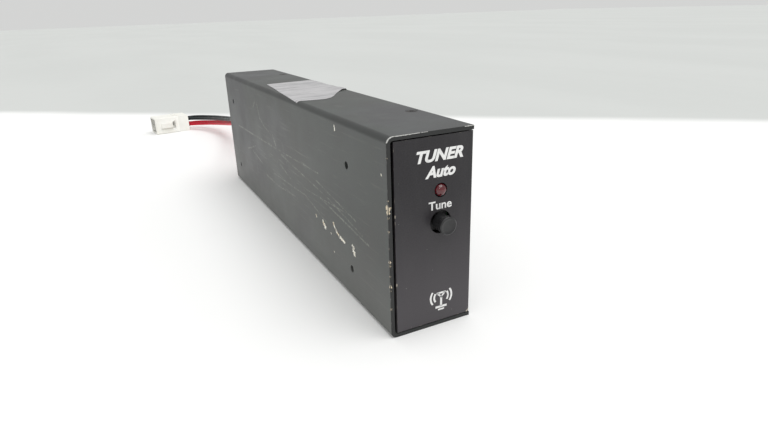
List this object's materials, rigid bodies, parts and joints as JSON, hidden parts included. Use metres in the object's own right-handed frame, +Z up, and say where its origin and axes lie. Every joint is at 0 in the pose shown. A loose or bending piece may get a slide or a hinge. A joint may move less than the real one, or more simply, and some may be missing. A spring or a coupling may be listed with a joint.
{
  "type": "antenna tuner",
  "caption": "Slim side-mounting automatic antenna tuner: folded metal case, push button and lamp in front, coaxial sockets, earth stud and plugged power lead behind.",
  "frame": {"origin": "centre of the case's bottom face, on the surface that the case stands on", "axes": "+Y from the front panel to the rear panel, +Z up, +X to the right seen from the front"},
  "size_m": [0.079, 0.5095, 0.0813],
  "materials": {
    "grey_paint": "satin dark grey paint, scuffed, bare metal on the front top edge",
    "black_paint": "satin black paint with white print",
    "clear_film": "wrinkled clear packing tape",
    "button_plastic": "satin black moulding",
    "white_plastic": "white nylon",
    "black_plastic": "black moulding",
    "spring_steel": "bright spring wire",
    "red_lens": "dark red clear epoxy",
    "board_laminate": "green solder mask",
    "iron_powder": "red coated iron powder",
    "ferrite": "dark grey ferrite",
    "copper_wire": "enamelled copper",
    "capacitor_coating": "brown dipped coating",
    "can_sleeve": "dark blue sleeve",
    "relay_case": "dark blue moulding",
    "nickel": "nickel plate",
    "socket_insulator": "off-white socket insulator",
    "brass": "plain brass",
    "rubber": "black rubber",
    "black_wire": "black wire insulation",
    "red_wire": "red wire insulation",
    "plug_nylon": "off-white translucent nylon",
    "black_screw": "black oxide steel",
    "steel_screw": "zinc plate"
  },
  "bodies": {
    "case": {"cover": "grey_paint", "chassis": "black_paint", "clear_tape": "clear_film", "switch_body": "black_plastic", "status_lamp": "red_lens", "main_board": "board_laminate", "large_inductor_core": "iron_powder", "small_inductor_core": "iron_powder", "sensor_core": "ferrite", "large_inductor_winding": "copper_wire", "small_inductor_winding": "copper_wire", "sensor_winding": "copper_wire", "air_coil": "copper_wire", "mica_capacitor_1": "capacitor_coating", "mica_capacitor_2": "capacitor_coating", "microcontroller": "black_plastic", "supply_capacitor": "can_sleeve", "power_terminal": "white_plastic", "antenna_socket_shell": "nickel", "antenna_socket_nut": "nickel", "antenna_socket_contact": "nickel", "antenna_socket_insulator": "socket_insulator", "radio_socket_shell": "nickel", "radio_socket_nut": "nickel", "radio_socket_contact": "nickel", "radio_socket_insulator": "socket_insulator", "control_jack": "black_plastic", "earth_stud": "brass", "lead_grommet": "rubber", "wire_black_near": "black_wire", "wire_black_far": "black_wire", "wire_red_near": "red_wire", "wire_red_far": "red_wire", "plug_housing": "plug_nylon", "contact_black_near": "brass", "contact_black_far": "brass", "contact_red_near": "brass", "contact_red_far": "brass", "cover_screw_top_front": "black_screw", "cover_screw_top_rear": "black_screw", "cover_screw_bottom_front": "black_screw", "cover_screw_bottom_rear": "black_screw", "standoff_high_front": "brass", "board_screw_high_front": "steel_screw", "standoff_high_rear": "brass", "board_screw_high_rear": "steel_screw", "standoff_low_front": "brass", "board_screw_low_front": "steel_screw", "standoff_low_rear": "brass", "board_screw_low_rear": "steel_screw", "relay_1": "relay_case", "relay_2": "relay_case", "relay_3": "relay_case", "relay_4": "relay_case", "relay_5": "relay_case"},
    "tune_button": {"tune_button": "button_plastic", "switch_plunger": "white_plastic", "return_spring": "spring_steel"},
    "wing_nut": {"wing_nut": "nickel"}
  },
  "joints": [
    {"name": "tune_button_press", "type": "slide", "parent": "case", "child": "tune_button", "axis": [0, 1, 0], "range_m": [0, 0.0015], "stiffness_N_per_m": 1200, "springref_m": -0.0006},
    {"name": "wing_nut_turn", "type": "hinge", "parent": "case", "child": "wing_nut", "pos_m": [0.0085, 0.135, 0.047], "axis": [0, 1, 0], "continuous": true}
  ]
}
